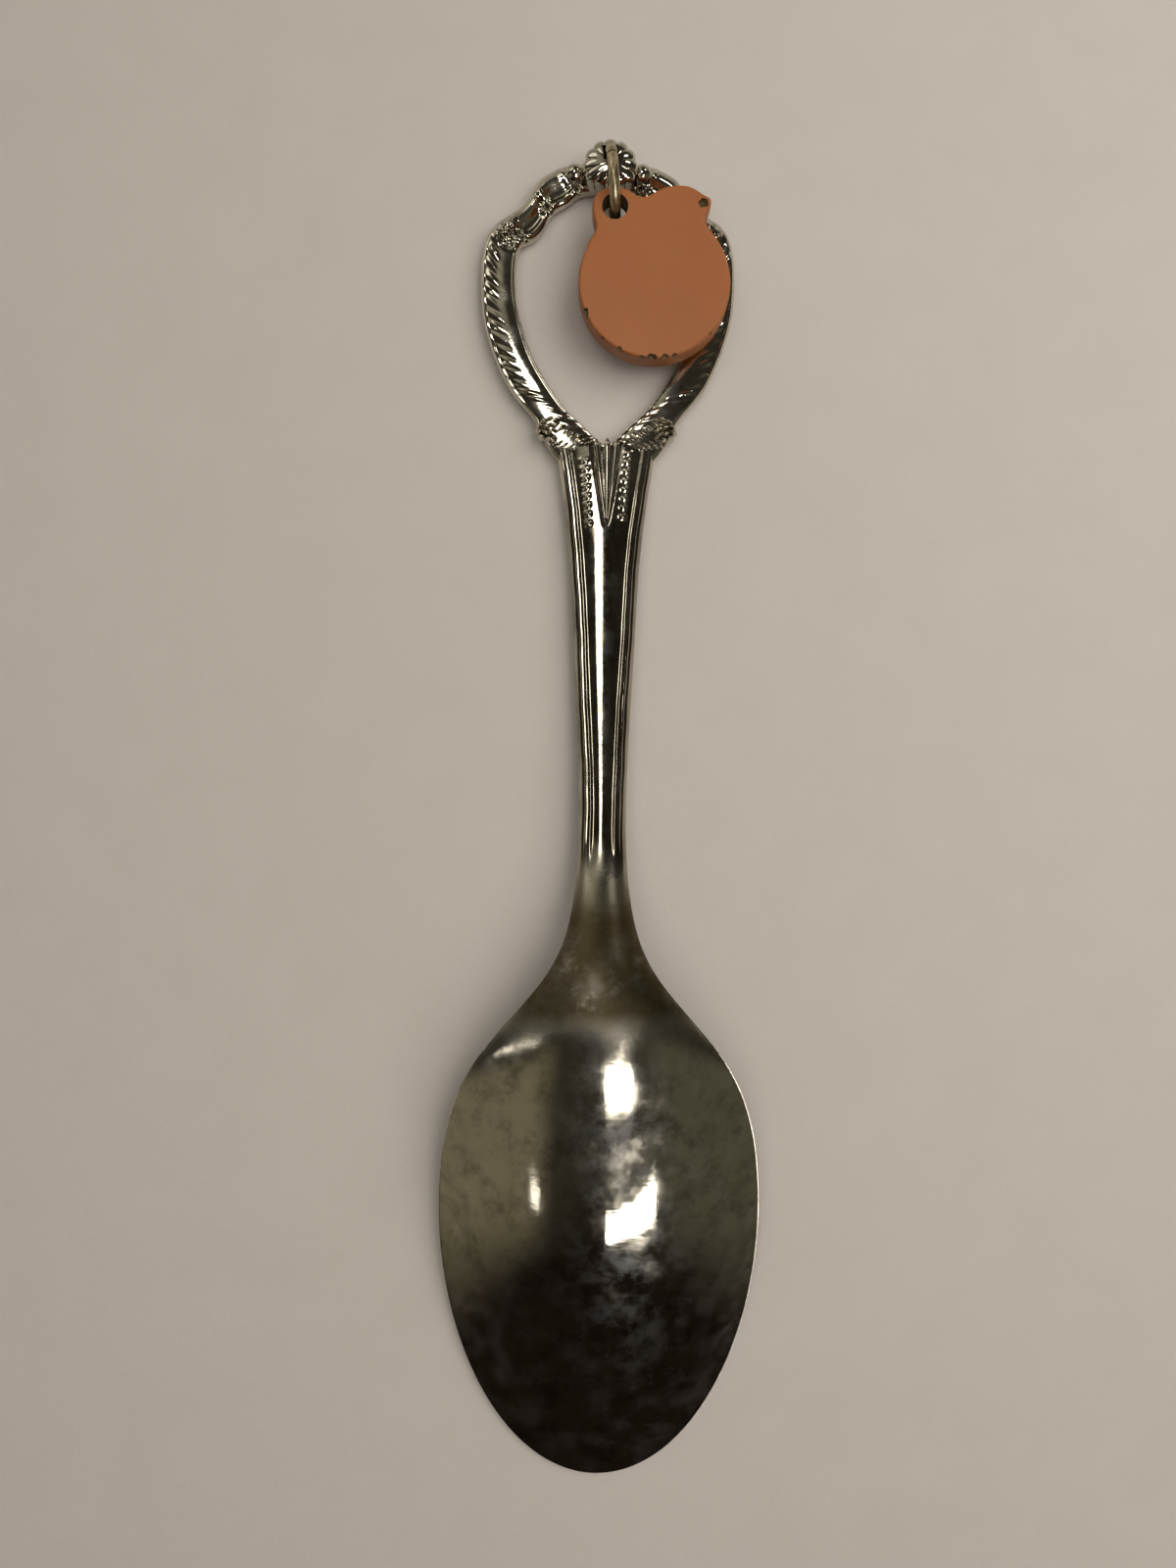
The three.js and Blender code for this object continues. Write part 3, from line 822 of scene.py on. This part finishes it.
PLATE_PALE = (0.66, 0.62, 0.52, 1)
PLATE_WARM = (0.56, 0.52, 0.42, 1)
# Olive tarnish; the same colour is also the painted shade on the neck, stem and grooves.
TARNISH_AND_SHADE = (0.09, 0.072, 0.038, 1)
BRASS_CLEAN = (0.58, 0.48, 0.30, 1)
BRASS_AGED = (0.27, 0.215, 0.12, 1)
PAINT_PALE = (0.40, 0.138, 0.040, 1)
PAINT_DEEP = (0.345, 0.113, 0.032, 1)
PAINT_SPECK = (0.24, 0.085, 0.03, 1)
PAINT_RUBBED = (0.13, 0.075, 0.03, 1)
CHIP_BRONZE = (0.20, 0.115, 0.04, 1)
CHIP_DARK = (0.06, 0.045, 0.025, 1)
PAPER_PALE = (0.62, 0.575, 0.53, 1)
PAPER_SHADE = (0.58, 0.535, 0.49, 1)


def node(tree, kind, inputs=(), **settings):
    """Adds a shader node. inputs maps a socket's name or number to a value or an output."""
    made = tree.nodes.new("ShaderNode" + kind)
    for key, value in settings.items():
        setattr(made, key, value)
    for socket, value in dict(inputs).items():
        if isinstance(value, bpy.types.NodeSocket):
            tree.links.new(value, made.inputs[socket])
        else:
            made.inputs[socket].default_value = value
    return made


def new_material(name):
    """An empty Principled material: returns it with its node tree and shader."""
    material = bpy.data.materials.new(name)
    material.use_nodes = True
    tree = material.node_tree
    return material, tree, tree.nodes["Principled BSDF"]


def grain(tree, scale_mm, detail=4.0, roughness=0.5, stretch=(1, 1, 1)):
    """Noise over the object, with features about scale_mm in size."""
    place = node(tree, "TexCoord").outputs["Object"]
    mapped = node(tree, "Mapping", {"Vector": place, "Scale": stretch})
    return node(tree, "TexNoise", {
        "Vector": mapped.outputs["Vector"], "Scale": 1 / (scale_mm * MM), "Detail": detail,
        "Roughness": roughness,
    }).outputs["Fac"]


def span(tree, value, low, high, to_low=0.0, to_high=1.0, soft=True):
    """Maps low..high to another range, clamped."""
    return node(
        tree, "MapRange",
        {"Value": value, "From Min": low, "From Max": high, "To Min": to_low, "To Max": to_high},
        interpolation_type="SMOOTHSTEP" if soft else "LINEAR",
    ).outputs["Result"]


def times(tree, a, b):
    return node(tree, "Math", {0: a, 1: b}, operation="MULTIPLY").outputs["Value"]


def most(tree, a, b):
    return node(tree, "Math", {0: a, 1: b}, operation="MAXIMUM").outputs["Value"]


def blend_colour(tree, share, a, b):
    """Mixes two colours, each a value or a socket."""
    mix = node(tree, "Mix", data_type="RGBA")
    for index, value in ((0, share), (6, a), (7, b)):
        if isinstance(value, bpy.types.NodeSocket):
            tree.links.new(value, mix.inputs[index])
        else:
            mix.inputs[index].default_value = value
    return mix.outputs[2]


def axis_position(tree, axis):
    """The object's own x, y or z, in metres."""
    place = node(tree, "TexCoord").outputs["Object"]
    return node(tree, "SeparateXYZ", {0: place}).outputs[axis]


def band(tree, value, start, full, fade, end):
    """1 between full and fade, falling to 0 at start and end, all in millimetres."""
    rise = span(tree, value, start * MM, full * MM)
    fall = span(tree, value, fade * MM, end * MM, 1, 0)
    return times(tree, rise, fall)


def recess(tree, low=0.44, high=0.5):
    """1 in hollows and grooves, 0 on open faces."""
    return span(tree, node(tree, "NewGeometry").outputs["Pointiness"], low, high, 1, 0)


def plated_metal():
    """Bright plate: scratched, hazy where rubbed, with olive tarnish in patches and at the neck;
    painted shade in the same olive darkens the neck, stem and grooves.
    """
    material, tree, shader = new_material("plated_metal")
    y = axis_position(tree, 1)
    # Neck: part olive tarnish, part painted shade that darkens it so no highlight shows at the
    # shoulder.
    neck_patches = span(tree, grain(tree, 3.2, 5, 0.6), 0.05, 0.42)
    neck = times(tree, band(tree, y, -19, -15.5, -9, -1), neck_patches)
    film = times(tree, span(tree, grain(tree, 2.6, 8, 0.7), 0.42, 0.74), 0.6)
    # Painted shade: streaky olive darkening along the stem that dims its reflections.
    stem_shade_streaks = span(tree, grain(tree, 1.6, 6, 0.6, (1, 0.25, 1)), 0.3, 0.65, 0.3, 0.8)
    stem = times(tree, band(tree, y, -8, -3, 26, 30), stem_shade_streaks)
    # Painted shade in hollows and grooves, taken from the mesh's pointiness.
    grooves = times(tree, recess(tree), 0.7)
    # Real tarnish and painted shade together: the strongest of the four masks darkens the plate.
    tarnish_and_shade = most(tree, most(tree, neck, film), most(tree, stem, grooves))
    bright = blend_colour(tree, grain(tree, 9, 3), PLATE_PALE, PLATE_WARM)
    shader.inputs["Metallic"].default_value = 1.0
    colour = blend_colour(tree, tarnish_and_shade, bright, TARNISH_AND_SHADE)
    tree.links.new(colour, shader.inputs["Base Color"])

    haze = span(tree, grain(tree, 2.4, 8, 0.6), 0.4, 0.78, 0.05, 0.17)
    rubbed = times(tree, band(tree, y, -34, -20, -13, -4), 0.04)
    rough = node(tree, "Math", {0: haze, 1: rubbed}, operation="ADD").outputs["Value"]
    for mask, share in ((neck, 0.34), (grooves, 0.15)):
        dulled = node(tree, "Math", {0: mask, 1: share, 2: rough}, operation="MULTIPLY_ADD")
        rough = dulled.outputs["Value"]
    tree.links.new(rough, shader.inputs["Roughness"])
    clouds = span(tree, grain(tree, 2.2, 10, 0.66), 0.42, 0.66)
    tree.links.new(clouds, shader.inputs["Coat Weight"])
    shader.inputs["Coat Roughness"].default_value = 0.34

    fine = grain(tree, 0.16, 3, 0.5, (1, 0.06, 1))
    cross = grain(tree, 0.2, 2, 0.5, (0.09, 1, 0.5))
    scratches = node(tree, "Math", {0: fine, 1: cross}, operation="ADD").outputs["Value"]
    low = node(tree, "Bump", {"Strength": 0.08, "Distance": 0.00002, "Height": scratches})
    bump = node(tree, "Bump", {
        "Strength": 0.1, "Distance": 0.00003, "Height": grain(tree, 0.6, 3, 0.5),
        "Normal": low.outputs["Normal"],
    })
    tree.links.new(bump.outputs["Normal"], shader.inputs["Normal"])
    return material


def brass_wire():
    """Aged brass wire: drawn along its length, browner in patches."""
    material, tree, shader = new_material("ring_wire")
    patches = span(tree, grain(tree, 1.1, 5, 0.6), 0.38, 0.68)
    colour = blend_colour(tree, patches, BRASS_CLEAN, BRASS_AGED)
    tree.links.new(colour, shader.inputs["Base Color"])
    shader.inputs["Metallic"].default_value = 1.0
    tree.links.new(span(tree, grain(tree, 0.7, 5), 0.3, 0.7, 0.3, 0.48), shader.inputs["Roughness"])
    drawn = grain(tree, 0.12, 3, 0.5, (1, 0.2, 0.2))
    bump = node(tree, "Bump", {"Strength": 0.2, "Distance": 0.00003, "Height": drawn})
    tree.links.new(bump.outputs["Normal"], shader.inputs["Normal"])
    return material


def charm_paint():
    """Satin terracotta enamel: faint mottling, a softer sheen in patches, darker where edges rubbed."""
    material, tree, shader = new_material("charm_paint")
    cloud = grain(tree, 5, 4, 0.5)
    base = blend_colour(tree, cloud, PAINT_PALE, PAINT_DEEP)
    specks = span(tree, grain(tree, 0.35, 3, 0.5), 0.66, 0.74)
    speckled = blend_colour(tree, times(tree, specks, 0.3), base, PAINT_SPECK)
    worn = span(tree, node(tree, "NewGeometry").outputs["Pointiness"], 0.53, 0.6)
    wear_patches = span(tree, grain(tree, 1.3, 5, 0.6), 0.48, 0.62)
    rubbed = times(tree, times(tree, worn, wear_patches), 0.7)
    colour = blend_colour(tree, rubbed, speckled, PAINT_RUBBED)
    tree.links.new(colour, shader.inputs["Base Color"])
    tree.links.new(span(tree, grain(tree, 2.2, 4), 0.3, 0.7, 0.36, 0.5), shader.inputs["Roughness"])
    shader.inputs["Specular IOR Level"].default_value = 0.25
    peel = grain(tree, 0.5, 4, 0.55)
    bump = node(tree, "Bump", {"Strength": 0.12, "Distance": 0.00004, "Height": peel})
    tree.links.new(bump.outputs["Normal"], shader.inputs["Normal"])
    return material


def chipped_metal():
    """Dull bronze-green metal, bare under the charm's chipped paint."""
    material, tree, shader = new_material("chipped_metal")
    colour = blend_colour(tree, grain(tree, 0.25, 5, 0.6), CHIP_BRONZE, CHIP_DARK)
    tree.links.new(colour, shader.inputs["Base Color"])
    shader.inputs["Metallic"].default_value = 0.6
    tree.links.new(span(tree, grain(tree, 0.2, 4), 0.3, 0.7, 0.45, 0.7), shader.inputs["Roughness"])
    return material


def paper_floor():
    """A matt, pale surface with the faintest mottling."""
    material, tree, shader = new_material("floor_paper")
    colour = blend_colour(tree, grain(tree, 6, 4), PAPER_PALE, PAPER_SHADE)
    tree.links.new(colour, shader.inputs["Base Color"])
    shader.inputs["Roughness"].default_value = 0.9
    shader.inputs["Specular IOR Level"].default_value = 0.15
    fibre = grain(tree, 0.8, 5)
    bump = node(tree, "Bump", {"Strength": 0.15, "Distance": 0.0002, "Height": fibre})
    tree.links.new(bump.outputs["Normal"], shader.inputs["Normal"])
    return material


# ---------------------------------------------------------------------- stage

FLOOR_HALF_SIZE = 1500.0
FLOOR_Z = -0.02
CAMERA_PLACE = (-1.26, 2.65, 103.3)
CAMERA_TURN = math.radians(0.57)
CAMERA_LENS = 27.05
CAMERA_SENSOR = 36
CAMERA_CLIP = (0.005, 10)
LAMP_COLOUR = (1.0, 0.965, 0.915)

# The room's tones: overhead and low down, then a colour with the axes and the ranges of
# the direction over which it sets in.
ROOM_LOW = (0.10, 0.09, 0.07, 1)
ROOM_HIGH = (0.036, 0.032, 0.024, 1)
ROOM_TONES = (
    ((0.20, 0.18, 0.125, 1), ("X", -0.42, -0.7), ("Y", -0.05, -0.25)),
    ((0.33, 0.31, 0.25, 1), ("X", -0.05, -0.3), ("Y", 0.24, 0.38)),
    ((0.10, 0.095, 0.07, 1), ("X", 0.35, 0.8), ("Y", 0.1, -0.15)),
    ((0.34, 0.32, 0.26, 1), ("Y", 0.4, 0.75), ("Z", 0.2, 0.4, 1, 0)),
    ((0.012, 0.008, 0.006, 1), ("Y", -0.45, -0.72)),
)

# name: where it is, what it faces, width, height, power in watts, whether it lights
# surfaces, whether it shows in reflections. Places and sizes in millimetres.
LIGHTS = {
    "key": ((158, 74, 208), (0, 0, 0), 250, 250, 0.44, True, False),
    "fill": ((0, 10, 400), (0, 0, 0), 460, 460, 0.74, True, False),
    "panel_high": ((94, -138, 381), (2, -22, 9), 120, 27, 0.24, False, True),
    "panel_low": ((135, -258, 310), (3, -33, 8), 205, 38, 0.52, False, True),
    "strip_above": ((-60, 112, 396), (0, 10, 3), 86, 104, 0.24, False, True),
    "strip_left": ((-310, -30, 200), (-7, -20, 7), 150, 14, 0.014, False, True),
    "spot_left": ((-250, -230, 262), (-6, -31, 7), 34, 26, 0.006, False, True),
    "back_left": ((-230, 270, 190), (-6, 52, 2), 230, 120, 0.09, False, True),
    "back_right": ((170, 250, 210), (5, 53, 2), 70, 60, 0.06, False, True),
}


def add_light(name, place, target, width, height, power, lights_surfaces, shows):
    """A rectangular lamp that faces its target, with its width level along world X."""
    light = bpy.data.lights.new(name, "AREA")
    light.shape = "RECTANGLE"
    light.size, light.size_y = width * MM, height * MM
    light.energy = power
    light.color = LAMP_COLOUR
    lamp = bpy.data.objects.new(name, light)
    back = (Vector(place) - Vector(target)).normalized()
    side = (Vector((1, 0, 0)) - back.x * back).normalized()
    facing = Matrix((side, back.cross(side), back)).transposed().to_4x4()
    lamp.matrix_world = Matrix.Translation(Vector(place) * MM) @ facing
    lamp.visible_diffuse = lights_surfaces
    lamp.visible_glossy = shows
    bpy.context.scene.collection.objects.link(lamp)


def add_floor():
    half = FLOOR_HALF_SIZE
    corners = [(-half, -half), (half, -half), (half, half), (-half, half)]
    mesh = bpy.data.meshes.new("floor")
    mesh.from_pydata([Vector((x, y, FLOOR_Z)) * MM for x, y in corners], [], [(0, 1, 2, 3)])
    mesh.materials.append(paper_floor())
    floor = bpy.data.objects.new("floor", mesh)
    bpy.context.scene.collection.objects.link(floor)


def add_world():
    """A dim, soft room: paler low down, behind and to the left, darkest overhead and at -Y."""
    world = bpy.data.worlds.new("studio")
    bpy.context.scene.world = world
    world.use_nodes = True
    tree = world.node_tree
    ways = node(tree, "SeparateXYZ", {0: node(tree, "TexCoord").outputs["Generated"]}).outputs
    colour = blend_colour(tree, span(tree, ways["Z"], 0.0, 0.3), ROOM_LOW, ROOM_HIGH)
    for tone, *reaches in ROOM_TONES:
        shares = [span(tree, ways[axis], *limits) for axis, *limits in reaches]
        share = times(tree, *shares) if len(shares) == 2 else shares[0]
        colour = blend_colour(tree, share, colour, tone)
    tree.links.new(colour, tree.nodes["Background"].inputs["Color"])


def add_camera():
    """A camera overhead, looking straight down at the spoon."""
    camera = bpy.data.cameras.new("camera")
    camera.lens = CAMERA_LENS
    camera.sensor_width = CAMERA_SENSOR
    camera.clip_start, camera.clip_end = CAMERA_CLIP
    eye = bpy.data.objects.new("camera", camera)
    eye.location = Vector(CAMERA_PLACE) * MM
    eye.rotation_euler = (0, 0, CAMERA_TURN)
    bpy.context.scene.collection.objects.link(eye)
    bpy.context.scene.camera = eye


# ------------------------------------------------------------------- assembly

def place(piece, node_name, slot, materials=()):
    """Puts a finished piece on its body, in place of the CAD node of that name."""
    if materials:
        piece.data.materials.clear()
    for material in materials:
        piece.data.materials.append(material)
    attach(piece, node_name)
    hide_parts(node_name)


add_camera()
add_world()
add_floor()
for light_name, settings in LIGHTS.items():
    add_light(light_name, *settings)
bpy.context.scene.view_settings.view_transform = "Standard"

place(build_spoon(), "spoon", "plated_metal", [plated_metal()])
place(build_ring(), "jump_ring", "ring_wire", [brass_wire()])
place(build_charm(charm_paint(), chipped_metal()), "charm", "charm_paint")
